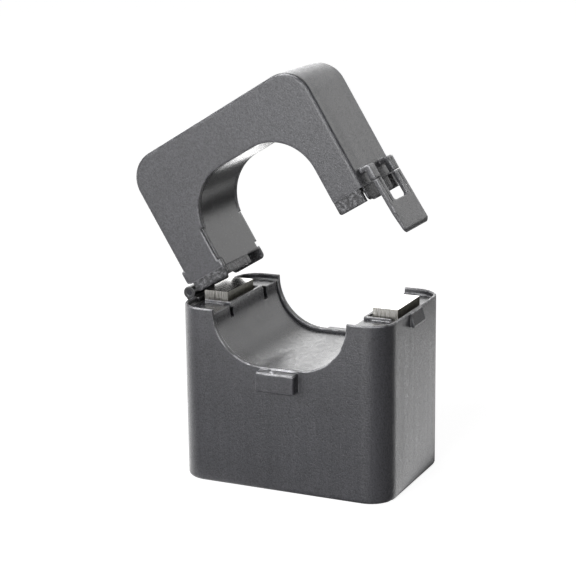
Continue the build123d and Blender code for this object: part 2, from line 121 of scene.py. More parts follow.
# %% [markdown]
# ## Material helpers
# A material is a small network of nodes, and helpers keep the networks short.  The first ones make
# a new material and hand back its shader, read Object coordinates, turned, stretched or moved if
# need be, and lay a noise over them.  Object coordinates are in metres and stay with the piece when
# it moves.
# %% Materials, coordinates and noise
def new_material(name, colour, roughness, metallic=0.0):
    """Principled material with plain values; returns (material, node tree, shader node)."""
    material = bpy.data.materials.new(name)
    material.use_nodes = True
    tree = material.node_tree
    shader = tree.nodes["Principled BSDF"]
    shader.inputs["Base Color"].default_value = (*colour, 1.0)
    shader.inputs["Roughness"].default_value = roughness
    shader.inputs["Metallic"].default_value = metallic
    return material, tree, shader


def object_coordinates(tree, stretch=(1.0, 1.0, 1.0), turn=(0.0, 0.0, 0.0), move=(0.0, 0.0, 0.0)):
    """Socket with the object's own coordinates in metres, stretched, then turned, then moved."""
    source = tree.nodes.new("ShaderNodeTexCoord")
    mapping = tree.nodes.new("ShaderNodeMapping")
    mapping.vector_type = "POINT"
    mapping.inputs["Scale"].default_value = stretch
    mapping.inputs["Rotation"].default_value = turn
    mapping.inputs["Location"].default_value = move
    tree.links.new(source.outputs["Object"], mapping.inputs["Vector"])
    return mapping.outputs["Vector"]


def stretched(tree, vector, stretch):
    """A vector socket with each of its numbers multiplied by its own factor."""
    node = tree.nodes.new("ShaderNodeVectorMath")
    node.operation = "MULTIPLY"
    node.inputs[1].default_value = stretch
    tree.links.new(vector, node.inputs[0])
    return node.outputs[0]


def axis_value(tree, vector, axis):
    """One of the three numbers of a vector socket."""
    node = tree.nodes.new("ShaderNodeSeparateXYZ")
    tree.links.new(vector, node.inputs[0])
    return node.outputs[axis]


def noise(tree, vector, scale, detail=2.0, roughness=0.5):
    """Noise from 0 to 1; its cells are about 1 / scale metres wide."""
    texture = tree.nodes.new("ShaderNodeTexNoise")
    texture.inputs["Scale"].default_value = scale
    texture.inputs["Detail"].default_value = detail
    texture.inputs["Roughness"].default_value = roughness
    tree.links.new(vector, texture.inputs["Vector"])
    return texture.outputs["Fac"]


# %% [markdown]
# The next helpers carry a noise to colours or to numbers, and join sockets by arithmetic.
# %% Colours and numbers
def ramp(tree, factor, stops):
    """Colour ramp through stops, a list of (place, colour)."""
    node = tree.nodes.new("ShaderNodeValToRGB")
    elements = node.color_ramp.elements
    while len(elements) < len(stops):
        elements.new(0.5)
    for element, (place, colour) in zip(elements, stops):
        element.position = place
        element.color = (*colour, 1.0)
    tree.links.new(factor, node.inputs["Fac"])
    return node.outputs["Color"]


def rescale(tree, value, low, high, new_low, new_high):
    """Value carried from the range low..high to new_low..new_high, and held inside it."""
    node = tree.nodes.new("ShaderNodeMapRange")
    for name, number in zip(
        ("From Min", "From Max", "To Min", "To Max"), (low, high, new_low, new_high)
    ):
        node.inputs[name].default_value = number
    tree.links.new(value, node.inputs["Value"])
    return node.outputs["Result"]


def calculate(tree, operation, first, second):
    """One arithmetic step; each side is a number or a socket."""
    node = tree.nodes.new("ShaderNodeMath")
    node.operation = operation
    for socket, value in zip(node.inputs, (first, second)):
        if isinstance(value, bpy.types.NodeSocket):
            tree.links.new(value, socket)
        else:
            socket.default_value = value
    return node.outputs[0]


def mix_colours(tree, factor, first, second, blend="MIX"):
    """Two colours or sockets mixed by a factor that is a number or a socket."""
    node = tree.nodes.new("ShaderNodeMix")
    node.data_type = "RGBA"
    node.blend_type = blend
    # The colour sockets of a Mix node are its inputs 6 and 7 and its output 2
    sockets = (node.inputs[0], node.inputs[6], node.inputs[7])
    for socket, value in zip(sockets, (factor, first, second)):
        if isinstance(value, bpy.types.NodeSocket):
            tree.links.new(value, socket)
        else:
            socket.default_value = value if isinstance(value, float) else (*value, 1.0)
    return node.outputs[2]


# %% [markdown]
# The last two lay a height onto the shader as a bump, and give a finished material to its pieces.
# A bump can lie on top of an earlier normal, such as one that rounds the edges.
# %% Bump, and giving a material
def bump(tree, shader, height, distance, under=None):
    """Bump from a height socket, on top of an earlier normal if one is given."""
    node = tree.nodes.new("ShaderNodeBump")
    node.inputs["Distance"].default_value = distance
    tree.links.new(height, node.inputs["Height"])
    if under is not None:
        tree.links.new(under, node.inputs["Normal"])
    tree.links.new(node.outputs["Normal"], shader.inputs["Normal"])


def wear(material, *objects):
    """Gives each object this one material."""
    for piece in objects:
        piece.data.materials.clear()
        piece.data.materials.append(material)


# %% [markdown]
# ## What a noise drives
# Most finishes here are one noise that drives several things at once.  A noise rarely leaves the
# range 0.3 to 0.7, so two short helpers spread that range over two colours or over two numbers.
# %% Noise to colours and numbers
NOISE_LOW = 0.3
NOISE_HIGH = 0.7


def two_shades(tree, factor, low_colour, high_colour, low=NOISE_LOW, high=NOISE_HIGH):
    """Colour that goes from one shade to the other while the factor goes from low to high."""
    return ramp(tree, factor, [(low, low_colour), (high, high_colour)])


def two_values(tree, factor, low_value, high_value):
    """Number that goes from one value to the other over the range of a noise."""
    return rescale(tree, factor, NOISE_LOW, NOISE_HIGH, low_value, high_value)


def add(tree, first, second):
    """Sum of two numbers or sockets."""
    return calculate(tree, "ADD", first, second)


def multiply(tree, first, second):
    """Product of two numbers or sockets."""
    return calculate(tree, "MULTIPLY", first, second)


# %% [markdown]
# ## Rounded edges, pale with wear and painted highlight
# No moulded edge is perfectly sharp.  The Bevel node looks round each point for other faces and
# returns a normal that turns smoothly across a corner, so a sharp CAD edge catches a line of light.
# The same node shows where the edges are: there its normal differs from the flat one.  That mask,
# broken up by a noise, paints the edges pale: partly the worn plastic that handled edges have, and
# partly a painted highlight.  The mask fades on edges that look down, so the pale lies mostly on
# the upper edges, where the light falls.
# %% Edges
EDGE_RADIUS = 0.0006
EDGE_SAMPLES = 6
# Cosines between the flat and the rounded normal at which the mask starts and is full
EDGE_STARTS = 0.99
EDGE_FULL = 0.92
# Heights of the rounded normal between which the pale edge grows from its least to its most
DOWNWARD = -0.2
UPWARD = 0.4
LEAST_ON_LOWER_EDGES = 0.15


def soft_edges(tree, radius):
    """Returns (normal that rounds the edges, mask from 0 on flat faces to 1 on upper edges)."""
    rounded = tree.nodes.new("ShaderNodeBevel")
    rounded.samples = EDGE_SAMPLES
    rounded.inputs["Radius"].default_value = radius
    flat = tree.nodes.new("ShaderNodeNewGeometry")
    likeness = tree.nodes.new("ShaderNodeVectorMath")
    likeness.operation = "DOT_PRODUCT"
    tree.links.new(rounded.outputs["Normal"], likeness.inputs[0])
    tree.links.new(flat.outputs["Normal"], likeness.inputs[1])
    edge = rescale(tree, likeness.outputs["Value"], EDGE_STARTS, EDGE_FULL, 0.0, 1.0)
    height = axis_value(tree, rounded.outputs["Normal"], "Z")
    # Upper edges get the most pale, a painted highlight where light falls as well as wear
    upward_wear_and_highlight = rescale(tree, height, DOWNWARD, UPWARD, LEAST_ON_LOWER_EDGES, 1.0)
    return rounded.outputs["Normal"], multiply(tree, edge, upward_wear_and_highlight)


# %% [markdown]
# ## Charcoal plastic with a spark grain
# The housing is injection moulded.  The steel of its mould was eroded by sparks, which leaves a
# fine grain of pits about 0.4 mm across.  So one noise of that size drives three things together:
# the pits are a little darker, a little duller and a little lower.  A second noise, some
# centimetres wide, gives the cloudy change of shade that handled plastic shows.  A third one is
# stretched thirty times in the direction in which the plastic flowed, for faint streaks of gloss.
# %% Charcoal plastic
CLOUDS_PER_METRE = 60.0
CLOUD_LOW = 0.25
CLOUD_HIGH = 0.75
PATCHES_PER_METRE = 420.0
PATCH_LOW = 0.38
PATCH_HIGH = 0.58
PATCH_LEAST = 0.1
STREAK = (600.0, 600.0, 20.0)
STREAK_GLOSS = 0.035
PITS_DULLER = 0.12
CRESTS_GLOSSIER = 0.08
# Tint of the pale edges: partly wear, partly a painted highlight
WEAR_AND_HIGHLIGHT = (0.68, 0.68, 0.71)


def pits(tree, size):
    """Noise whose cells are about size metres wide and are broken up finely, like eroded steel."""
    return noise(tree, object_coordinates(tree), 1.0 / size, detail=4.0, roughness=0.7)


def grained_plastic(
    name,
    dark,
    light,
    roughness,
    grain_size,
    grain_depth,
    clouds=0.12,
    wear_and_highlight=0.6,
    turn=0.0,
    round_off=EDGE_RADIUS,
):
    """Plastic whose colour, roughness and height follow one grain, with pale edges that are partly
    worn and partly a painted highlight.

    The streaks run along Z after the turn about Y, which is how the plastic flowed in the mould.
    """
    material, tree, shader = new_material(name, light, roughness)
    place = object_coordinates(tree)
    grain = pits(tree, grain_size)
    base = two_shades(tree, grain, dark, light)
    cloud = noise(tree, place, CLOUDS_PER_METRE)
    darker, lighter = (1.0 - clouds,) * 3, (1.0 + clouds,) * 3
    shade = two_shades(tree, cloud, darker, lighter, CLOUD_LOW, CLOUD_HIGH)
    colour = mix_colours(tree, 1.0, base, shade, blend="MULTIPLY")

    normal, edge = soft_edges(tree, round_off)
    broken = noise(tree, place, PATCHES_PER_METRE, detail=3.0)
    patches = rescale(tree, broken, PATCH_LOW, PATCH_HIGH, PATCH_LEAST, wear_and_highlight)
    # The edges are painted pale: partly wear, partly a painted highlight on the upper edges
    colour = mix_colours(tree, multiply(tree, edge, patches), colour, WEAR_AND_HIGHLIGHT)
    tree.links.new(colour, shader.inputs["Base Color"])

    along_flow = stretched(tree, object_coordinates(tree, turn=(0.0, turn, 0.0)), STREAK)
    flow = noise(tree, along_flow, 1.0)
    dull = two_values(tree, grain, roughness + PITS_DULLER, roughness - CRESTS_GLOSSIER)
    dull = add(tree, dull, two_values(tree, flow, STREAK_GLOSS, -STREAK_GLOSS))
    tree.links.new(dull, shader.inputs["Roughness"])
    bump(tree, shader, grain, grain_depth, under=normal)
    return material, tree, shader, colour, dull


GRAIN_SIZE = 0.0004
GRAIN_DEPTH = 0.00008
HOUSING_DARK = (0.014, 0.014, 0.017)
HOUSING_LIGHT = (0.076, 0.076, 0.084)
housing_plastic = grained_plastic(
    "charcoal_spark_grain",
    dark=HOUSING_DARK,
    light=HOUSING_LIGHT,
    roughness=0.32,
    grain_size=GRAIN_SIZE,
    grain_depth=GRAIN_DEPTH,
    wear_and_highlight=1.0,
)[0]
wear(housing_plastic, parts["base_shell"], parts["latch"])

# %% [markdown]
# ## The jaw's two plastics
# Below the shoulder of the jaw the mould was rougher, so the tongues get a coarser, darker grain:
# the material turns its coordinates back to the closed jaw and compares their height with the
# shoulder's.  Its mask is sharp, over a tenth of a millimetre, and along the shoulder itself runs a
# thin pale line, a painted highlight on the step there.  The jaw's edges are rounder than the
# base's.
# %% Jaw plastic
SHOULDER = 0.0481
SHOULDER_LINE = 0.0001
SHOULDER_HIGHLIGHT = 0.12
SHELL_SIDE = 0.0286
JAW_GRAIN_DEPTH = 0.00006
JAW_EDGE_RADIUS = 0.0009
COARSE_SIZE = 0.0009
COARSE_DEPTH = 0.00025
COARSE_DULLER = 0.12
COARSE_TINTS = [
    (0.40, (0.004, 0.004, 0.005)),
    (0.51, (0.035, 0.035, 0.038)),
    (0.62, (0.17, 0.17, 0.18)),
]


def closed_coordinates(tree):
    """Object coordinates turned back about the hinge to the closed jaw."""
    back = turned(np.zeros(3), -OPEN_ANGLE)
    return object_coordinates(tree, turn=(0.0, OPEN_ANGLE, 0.0), move=tuple(back))


def coarse_tongues(name, dark, light, roughness, wear_and_highlight):
    """Grained plastic whose part below the jaw's shoulder is coarser, darker and duller."""
    material, tree, shader, colour, dull = grained_plastic(
        name,
        dark,
        light,
        roughness,
        grain_size=GRAIN_SIZE,
        grain_depth=JAW_GRAIN_DEPTH,
        wear_and_highlight=wear_and_highlight,
        turn=OPEN_ANGLE,
        round_off=JAW_EDGE_RADIUS,
    )
    closed = closed_coordinates(tree)
    height = axis_value(tree, closed, "Z")
    # The straps hang below the shoulder too, but outside the shell, and they stay smooth
    sideways = axis_value(tree, closed, "X")
    inside = rescale(tree, sideways, SHELL_SIDE, SHELL_SIDE + SHOULDER_LINE, 1.0, 0.0)
    below = rescale(tree, height, SHOULDER - SHOULDER_LINE, SHOULDER, 1.0, 0.0)
    below = multiply(tree, below, inside)
    coarse = pits(tree, COARSE_SIZE)
    colour = mix_colours(tree, below, colour, ramp(tree, coarse, COARSE_TINTS))

    # The thin pale line along the shoulder is a painted highlight on the step there
    from_line = calculate(tree, "ABSOLUTE", calculate(tree, "SUBTRACT", height, SHOULDER), 0.0)
    line = rescale(tree, from_line, SHOULDER_LINE, 2.0 * SHOULDER_LINE, SHOULDER_HIGHLIGHT, 0.0)
    colour = mix_colours(tree, multiply(tree, line, inside), colour, WEAR_AND_HIGHLIGHT)
    tree.links.new(colour, shader.inputs["Base Color"])

    duller = multiply(tree, below, COARSE_DULLER)
    tree.links.new(add(tree, dull, duller), shader.inputs["Roughness"])
    fine_normal = shader.inputs["Normal"].links[0].from_socket
    bump(tree, shader, multiply(tree, coarse, below), COARSE_DEPTH, under=fine_normal)
    return material


jaw_plastic = coarse_tongues(
    "charcoal_jaw", dark=HOUSING_DARK, light=HOUSING_LIGHT, roughness=0.34, wear_and_highlight=1.0
)
wear(jaw_plastic, parts["jaw_shell"])

# The liner in the arch is the jaw's plastic made far darker: painted shade for the arch's shadowed
# inner faces
ARCH_SHADED_DARK = (0.014, 0.014, 0.016)
ARCH_SHADED_LIGHT = (0.024, 0.024, 0.027)
arch_painted_shade_plastic = coarse_tongues(
    "charcoal_jaw_liner_painted_shade", dark=ARCH_SHADED_DARK, light=ARCH_SHADED_LIGHT, roughness=0.18, wear_and_highlight=0.3
)
wear(arch_painted_shade_plastic, parts["jaw_liner"])

# %% [markdown]
# ## The window's wall
# The base's liner comes from a smoother mould.  Its wall is nearly glossy, so it mirrors the bright
# room behind, and what breaks the mirror up is fine rub marks, much longer than wide.
# %% Smooth charcoal plastic
SMOOTH_DARK = (0.036, 0.036, 0.041)
SMOOTH_LIGHT = (0.052, 0.052, 0.059)
SMOOTH_DEPTH = 0.000006
MARKS_PER_METRE = 300.0
MARKS_STRETCH = (1.0, 0.25, 1.0)
MARKS_DARK = (0.8, 0.8, 0.8)
MARKS_LIGHT = (1.2, 1.2, 1.2)
MARKS_DULLER = 0.03


def rubbed_smooth(material, tree, shader, colour, dull):
    """Adds long soft rub marks to a smooth plastic's shade and roughness."""
    along = object_coordinates(tree, stretch=MARKS_STRETCH)
    marks = noise(tree, along, MARKS_PER_METRE, detail=4.0)
    shade = two_shades(tree, marks, MARKS_DARK, MARKS_LIGHT)
    marked = mix_colours(tree, 1.0, colour, shade, blend="MULTIPLY")
    tree.links.new(marked, shader.inputs["Base Color"])
    rough = add(tree, dull, two_values(tree, marks, -MARKS_DULLER, MARKS_DULLER))
    tree.links.new(rough, shader.inputs["Roughness"])
    return material


smooth_plastic = grained_plastic(
    "charcoal_smooth",
    dark=SMOOTH_DARK,
    light=SMOOTH_LIGHT,
    roughness=0.27,
    grain_size=GRAIN_SIZE,
    grain_depth=SMOOTH_DEPTH,
    clouds=0.2,
    wear_and_highlight=0.6,
)
wear(rubbed_smooth(*smooth_plastic), parts["base_liner"])

# %% [markdown]
# ## Surfaces from grids
# The pieces that follow are made of grids: rows of points with the same number in each row.  One
# helper joins such a grid into faces.  A face is four numbers, so the whole table of faces comes
# from one array of point numbers, shifted by one row and by one column.
# %% Grid helper
def grid_faces(rows, columns, start=0, wrap=False):
    """Quads of a rows x columns grid of points; wrap joins the last column to the first."""
    number = start + np.arange(rows * columns).reshape(rows, columns)
    beside = np.roll(number, -1, axis=1)
    if not wrap:
        number, beside = number[:, :-1], beside[:, :-1]
    quads = np.stack([number[:-1], beside[:-1], beside[1:], number[1:]], axis=-1)
    return quads.reshape(-1, 4)


def new_piece(name, points, faces, slots, face_slots, uv=None, flip=False, smooth=False):
    """Mesh object at the origin from points, quads, materials and one material number per face."""
    faces = faces[:, ::-1] if flip else faces
    mesh = bpy.data.meshes.new(name)
    mesh.from_pydata(points.tolist(), [], faces.tolist())
    for material in slots:
        mesh.materials.append(material)
    mesh.polygons.foreach_set("material_index", face_slots.astype(np.int32))
    mesh.polygons.foreach_set("use_smooth", np.full(len(faces), smooth))
    if uv is not None:
        layer = mesh.uv_layers.new(name="UVMap")
        corners = np.empty(len(mesh.loops), dtype=np.int32)
        mesh.loops.foreach_get("vertex_index", corners)
        layer.data.foreach_set("uv", uv[corners].astype(np.float32).ravel())
    mesh.update()
    piece = bpy.data.objects.new(name, mesh)
    bpy.context.scene.collection.objects.link(piece)
    print(name, len(faces), "faces")
    return piece


# %% [markdown]
# ## Steel finishes of the core
# A transformer's core is wound from steel strip, bonded, and cut in two.  It shows three finishes.
# The strip's cut edges make a ribbed face, bright on the crests and dark between them.  The broad
# inner and outer faces are coated dark, with an olive tint.  The cut ends are lapped flat and
# nearly mirror-bright, with hair-fine scratches from the lapping.  The ribbed face is long and
# narrow and bends round the U, so its noise follows the piece's own UV map.
# %% Cut edges of the strips
STRIP_COUNT = 22
RIBS_ACROSS = 1.7 * STRIP_COUNT
RIBS_ALONG = 260.0
EDGE_TINTS = [
    (0.36, (0.05, 0.05, 0.048)),
    (0.47, (0.32, 0.31, 0.29)),
    (0.64, (0.6, 0.59, 0.57)),
]
EDGE_GLOSS = (0.35, 0.6, 0.55, 0.28)
EDGE_DEPTH = 0.00005


def uv_value(tree, axis):
    """One number of the piece's own UV map: X counts across the strips, Y runs along them."""
    source = tree.nodes.new("ShaderNodeUVMap")
    return axis_value(tree, source.outputs["UV"], axis)


def stretched_uv(tree, across, along):
    """The UV map with its two numbers multiplied, as a vector for a noise."""
    node = tree.nodes.new("ShaderNodeCombineXYZ")
    tree.links.new(multiply(tree, uv_value(tree, "X"), across), node.inputs[0])
    tree.links.new(multiply(tree, uv_value(tree, "Y"), along), node.inputs[1])
    return node.outputs[0]


strip_edges, edge_tree, edge_shader = new_material(
    "core_strip_edges", EDGE_TINTS[1][1], roughness=0.34, metallic=1.0
)
ribs = stretched_uv(edge_tree, RIBS_ACROSS, RIBS_ALONG)
strips = noise(edge_tree, ribs, 1.0, detail=3.0, roughness=0.7)
edge_tree.links.new(ramp(edge_tree, strips, EDGE_TINTS), edge_shader.inputs["Base Color"])
edge_tree.links.new(rescale(edge_tree, strips, *EDGE_GLOSS), edge_shader.inputs["Roughness"])
bump(edge_tree, edge_shader, strips, EDGE_DEPTH)

# %% Coated faces and lapped ends
COATING_DARK = (0.05, 0.048, 0.036)
COATING_LIGHT = (0.17, 0.162, 0.125)
COATING_SPOTS_PER_METRE = 900.0
COATING_DEPTH = 0.00001
LAPPED_DARK = (0.6, 0.59, 0.57)
LAPPED_LIGHT = (0.68, 0.67, 0.65)
LAPPING = (9000.0, 350.0, 350.0)
LAPPED_GLOSS = (0.17, 0.21)

coated, coated_tree, coated_shader = new_material(
    "core_coated_face", COATING_LIGHT, roughness=0.4, metallic=0.4
)
coating_place = object_coordinates(coated_tree)
spots = noise(coated_tree, coating_place, COATING_SPOTS_PER_METRE, detail=4.0, roughness=0.65)
coated_tint = two_shades(coated_tree, spots, COATING_DARK, COATING_LIGHT)
coated_tree.links.new(coated_tint, coated_shader.inputs["Base Color"])
bump(coated_tree, coated_shader, spots, COATING_DEPTH)

lapped, lapped_tree, lapped_shader = new_material(
    "core_lapped_end", LAPPED_LIGHT, roughness=LAPPED_GLOSS[0], metallic=1.0
)
hairs = noise(lapped_tree, object_coordinates(lapped_tree, LAPPING), 1.0, detail=3.0)
lapped_tint = two_shades(lapped_tree, hairs, LAPPED_DARK, LAPPED_LIGHT)
lapped_tree.links.new(lapped_tint, lapped_shader.inputs["Base Color"])
lapped_gloss = two_values(lapped_tree, hairs, *LAPPED_GLOSS)
lapped_tree.links.new(lapped_gloss, lapped_shader.inputs["Roughness"])

# %% [markdown]
# ## The two wound cores
# Each half is a U of 22 strips.  Think of every strip as one U-shaped line: the innermost one has
# the inner width and corner radius, the outermost one the outer width and radius, and the others
# lie evenly between.  So the place of a point needs two numbers: which strip it is on, from 0 to
# 1, and how far along the U.  The section that is carried along that path is a comb, with a fine
# groove between the strips on the front and rear faces.
# %% U-shaped path
LEG_STEPS = 6
CORNER_STEPS = 10
BOTTOM_STEPS = 8


def u_path(share, inner, outer, end):
    """Points of nested U lines, closed below and open at the height end.

    inner and outer are (half width, height of the U's bottom, corner radius); a line's own three
    values lie between them by share, a row of numbers from 0 to 1.  A line runs down the left leg,
    round a quarter circle, along the bottom, round the other quarter circle and up the right leg.
    Returns x and z, each with one row per step along the line and one column per share.
    """
    half, low, radius = (a + (b - a) * share for a, b in zip(inner, outer))
    sign = np.sign(end - low)
    down = np.linspace(0.0, 1.0, LEG_STEPS)[:, None]
    bend = np.linspace(0.0, np.pi / 2, CORNER_STEPS)[1:, None]
    along = np.linspace(-1.0, 1.0, BOTTOM_STEPS)[1:, None]
    leg_z = end + (low + sign * radius - end) * down
    corner_x = -half + radius * (1.0 - np.cos(bend))
    corner_z = low + sign * radius * (1.0 - np.sin(bend))
    bottom_x = (half - radius) * along
    x = np.vstack([-half + 0.0 * down, corner_x, bottom_x, -corner_x[::-1][1:], half + 0.0 * down])
    z = np.vstack([leg_z, corner_z, low + 0.0 * along, corner_z[::-1][1:], leg_z[::-1]])
    return x, z


# %% [markdown]
# The comb repeats one small profile for each strip: a flat crest with a groove after it.  The
# strips of a real core don't line up perfectly, so each crest also stands back a little, by an
# amount that a sine gives, which looks uneven but is the same in every run.
# %% Comb section
CREST = 0.72
GROOVE_SLOPE = 0.06
GROOVE_DEPTH = 0.00010
UNEVEN = 0.00006
# Any two numbers that let the sine jump about from strip to strip
SCATTER = (12.9898, 4.1)


def comb(count, half_depth):
    """Share and depth of the points across one ribbed face, from the inner strip to the outer."""
    places = [0.0, CREST, CREST + GROOVE_SLOPE, 1.0 - GROOVE_SLOPE]
    strip = np.repeat(np.arange(count), len(places))
    within = np.tile(places, count)
    groove = np.tile([0.0, 0.0, 1.0, 1.0], count)
    jump = np.sin(SCATTER[0] * strip * strip + SCATTER[1] * strip)
    back = UNEVEN * (0.5 + 0.5 * jump)
    share = np.append((strip + within) / count, 1.0)
    depth = np.append(half_depth - back - GROOVE_DEPTH * groove, half_depth)
    return share, depth


# %% [markdown]
# To close the section, the comb of the front face is followed by that of the rear face in the
# opposite order.  Three kinds of faces come out of it: ribbed ones, the two broad ones that join
# the combs, and the ends.  Each kind gets its own finish.
# %% Whole core
RIBBED, BROAD, ENDS = 0, 1, 2


def wound_core(name, inner, outer, end, half_depth, angle):
    """Half core: the comb section carried along the U path, with lapped ends, turned by angle."""
    share, depth = comb(STRIP_COUNT, half_depth)
    shares = np.concatenate([share, share[::-1]])
    depths = np.concatenate([-depth, depth[::-1]])
    x, z = u_path(shares, inner, outer, end)
    y = np.broadcast_to(depths, x.shape)
    points = np.stack([x, y, z], axis=-1)
    rows, columns = x.shape
    sides = grid_faces(rows, columns, wrap=True)
    column = np.tile(np.arange(columns), rows - 1)
    half = columns // 2
    joins_combs = (column == half - 1) | (column == columns - 1)
    # An end joins each point of the front comb to the one behind it
    front = np.arange(half - 1)
    pairs = np.stack([front, front + 1, columns - 2 - front, columns - 1 - front], axis=-1)
    faces = np.vstack([sides, pairs[:, ::-1], pairs + (rows - 1) * columns])
    side_finish = np.where(joins_combs, BROAD, RIBBED)
    slots = np.concatenate([side_finish, np.full(2 * len(pairs), ENDS)])
    steps = np.hypot(np.diff(x[:, 0]), np.diff(z[:, 0]))
    length = np.concatenate([[0.0], np.cumsum(steps)])[:, None]
    uv = np.stack([np.broadcast_to(shares, x.shape), np.broadcast_to(length, x.shape)], axis=-1)
    return new_piece(
        name,
        turned(points, angle).reshape(-1, 3),
        faces,
        [strip_edges, coated, lapped],
        slots,
        uv=uv.reshape(-1, 2),
        flip=end < inner[1],
    )


# %% [markdown]
# The outer size of each core is read from the CAD solid, so the new piece fills the same place.
# Only the thickness of the U and its two corner radii are named here.
# %% Make both cores
LIMB = 0.0066
OUTER_ROUND = 0.006
LOWER_INNER_ROUND = 0.003
UPPER_INNER_ROUND = 0.009

low, high = (np.array(corner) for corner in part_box("lower_core"))
lower_core = wound_core(
    "lower_core_strips",
    (high[0] - LIMB, low[2] + LIMB, LOWER_INNER_ROUND),
    (high[0], low[2], OUTER_ROUND),
    high[2],
    high[1],
    0.0,
)
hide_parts("lower_core")
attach(lower_core, "base")

low, high = closed_box("upper_core")
upper_core = wound_core(
    "upper_core_strips",
    (high[0] - LIMB, high[2] - LIMB, UPPER_INNER_ROUND),
    (high[0], high[2], OUTER_ROUND),
    low[2],
    high[1],
    OPEN_ANGLE,
)
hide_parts("upper_core")
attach(upper_core, "jaw")

# %% [markdown]
# ## The winding
# Inside the base, 67 turns of enamelled copper wire lie side by side in a layer on the bobbin.
# Seen from outside, a layer of wire is a row of half-round ridges that climb a little with each
# turn.  The surface is a rounded rectangle round the limb, pushed in by the groove between two
# turns.  The groove's depth is that of a circle: radius minus the height of its arc.
# %% Winding
WIRE = 0.00035
STEPS_PER_TURN = 6
COIL_WALL = 0.0026
TURN_CORNER = 0.0026
INNER_CORNER = 0.0001
AROUND = 64


def rounded_loop(half_y, half_z, radius, count):
    """Closed loop of count points on a rounded rectangle, as y, z and the outward direction."""
    angle = np.linspace(0.0, 2.0 * np.pi, count, endpoint=False) + np.pi / count
    out_y, out_z = np.cos(angle), np.sin(angle)
    y = (half_y - radius) * np.sign(out_y) + radius * out_y
    z = (half_z - radius) * np.sign(out_z) + radius * out_z
    return y, z, out_y, out_z


def wound_coil(name, low, high):
    """Copper coil in the box low..high: ridged outside, plain tube inside, flat ring ends."""
    middle, half = (low + high) / 2.0, (high - low) / 2.0
    turns = int(2.0 * half[0] / WIRE)
    print("turns in one layer:", turns)
    x = np.linspace(low[0], high[0], turns * STEPS_PER_TURN + 1)[:, None]
    y, z, out_y, out_z = rounded_loop(half[1], half[2], TURN_CORNER, AROUND)
    phase = (x - low[0]) / WIRE + np.arange(AROUND) / AROUND
    across = 2.0 * (phase % 1.0) - 1.0
    groove = WIRE / 2.0 * (1.0 - np.sqrt(np.clip(1.0 - across**2, 0.0, 1.0)))
    outer_y = middle[1] + y - out_y * groove
    outer_z = middle[2] + z - out_z * groove
    outer = np.stack([np.broadcast_to(x, groove.shape), outer_y, outer_z], axis=-1)
    inner = rounded_loop(half[1] - COIL_WALL, half[2] - COIL_WALL, INNER_CORNER, AROUND)
    ring = np.stack([0.0 * inner[0], middle[1] + inner[0], middle[2] + inner[1]], axis=-1)
    first, last = ring[None] + [low[0], 0, 0], ring[None] + [high[0], 0, 0]
    points = np.concatenate([last, first, outer, last])
    rows = len(points)
    faces = grid_faces(rows, AROUND, wrap=True)
    # The last row lies on the first one, so its faces use the first row's points
    faces = np.where(faces >= (rows - 1) * AROUND, faces - (rows - 1) * AROUND, faces)
    points = points[:-1].reshape(-1, 3)
    return new_piece(name, points, faces, [copper], np.zeros(len(faces)), smooth=True)


# %% [markdown]
# The wire's enamel is a clear coat on bright copper, a little uneven in thickness and so in shade.
# %% Copper
COPPER_DARK = (0.46, 0.15, 0.05)
COPPER_LIGHT = (0.72, 0.31, 0.13)
ENAMEL_SPOTS_PER_METRE = 700.0
ENAMEL = 0.6

copper, copper_tree, copper_shader = new_material(
    "enamelled_copper", COPPER_LIGHT, roughness=0.28, metallic=1.0
)
copper_place = object_coordinates(copper_tree)
enamel = noise(copper_tree, copper_place, ENAMEL_SPOTS_PER_METRE, detail=3.0)
copper_tint = two_shades(copper_tree, enamel, COPPER_DARK, COPPER_LIGHT)
copper_tree.links.new(copper_tint, copper_shader.inputs["Base Color"])
copper_shader.inputs["Coat Weight"].default_value = ENAMEL

coil = wound_coil("winding_turns", *(np.array(corner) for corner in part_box("winding")))
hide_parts("winding")
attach(coil, "base")

# %% [markdown]
# ## Gate marks on the snap tabs
# Where the plastic was let into the mould, a small dome is left on top of each tab, close to the
# wall.  A dome is a disc whose height falls off as (1 - r squared) squared, so it meets the tab
# without a crease.  It is closed underneath by a flat cone that is sunk in the tab.
# %% Gate marks
TAB_TOP = 0.0318
MARK_RADIUS = 0.0009
MARK_HEIGHT = 0.0003
MARK_SUNK = 0.0001
MARK_RINGS = 8
MARK_SIDES = 24
MARK_PLACE = (0.0012, 0.0212)


def merge_doubles(piece, distance=1e-7):
    """Joins points that lie on each other, such as the pole of a dome."""
    shape = bmesh.new()
    shape.from_mesh(piece.data)
    bmesh.ops.remove_doubles(shape, verts=shape.verts, dist=distance)
    shape.to_mesh(piece.data)
    shape.free()


def gate_mark(name, x, y):
    """Low dome on the tab's top: rings from the pole to the rim, and back underneath."""
    radius = np.append(np.linspace(0.0, 1.0, MARK_RINGS), 0.0)[:, None]
    angle = np.linspace(0.0, 2.0 * np.pi, MARK_SIDES, endpoint=False)
    rise = MARK_HEIGHT * (1.0 - radius**2) ** 2
    rise[-1] = -MARK_SUNK
    dome_x = x + MARK_RADIUS * radius * np.cos(angle)
    dome_y = y + MARK_RADIUS * radius * np.sin(angle)
    dome_z = np.broadcast_to(TAB_TOP + rise, dome_x.shape)
    points = np.stack([dome_x, dome_y, dome_z], axis=-1).reshape(-1, 3)
    faces = grid_faces(MARK_RINGS + 1, MARK_SIDES, wrap=True)
    slots = np.zeros(len(faces))
    piece = new_piece(name, points, faces, [housing_plastic], slots, flip=True, smooth=True)
    merge_doubles(piece)
    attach(piece, "base")


gate_mark("gate_mark_front", -MARK_PLACE[0], -MARK_PLACE[1])
gate_mark("gate_mark_rear", MARK_PLACE[0], MARK_PLACE[1])

